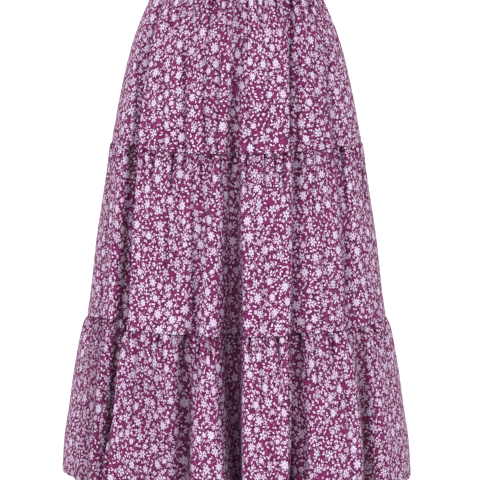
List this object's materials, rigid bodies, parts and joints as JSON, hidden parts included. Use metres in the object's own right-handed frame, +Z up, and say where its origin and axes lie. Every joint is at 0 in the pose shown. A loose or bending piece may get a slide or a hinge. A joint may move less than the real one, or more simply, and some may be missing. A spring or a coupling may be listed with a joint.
{
  "type": "tiered midi skirt",
  "caption": "Gathered midi skirt in three tiers of ditsy floral cloth under an elasticated waistband, hanging as worn, open at waist and hem.",
  "frame": {"origin": "centre of the waistband, halfway up it, where the wearer holds the skirt up", "axes": "+Z up out of the waist; -Y is the front; +X is the wearer's left, on the right of a front view"},
  "size_m": [0.555, 0.451, 0.8125],
  "materials": {
    "printed_cloth": "matt woven cloth, printed with small pale flowers on plum",
    "waistband_cloth": "the same printed cloth, ruched over elastic"
  },
  "bodies": {
    "root": {"waistband_front": "waistband_cloth", "waistband_back": "waistband_cloth", "upper_tier_front": "printed_cloth", "upper_tier_back": "printed_cloth", "middle_tier_front": "printed_cloth", "middle_tier_back": "printed_cloth", "lower_tier_front": "printed_cloth", "lower_tier_back": "printed_cloth"}
  },
  "joints": []
}
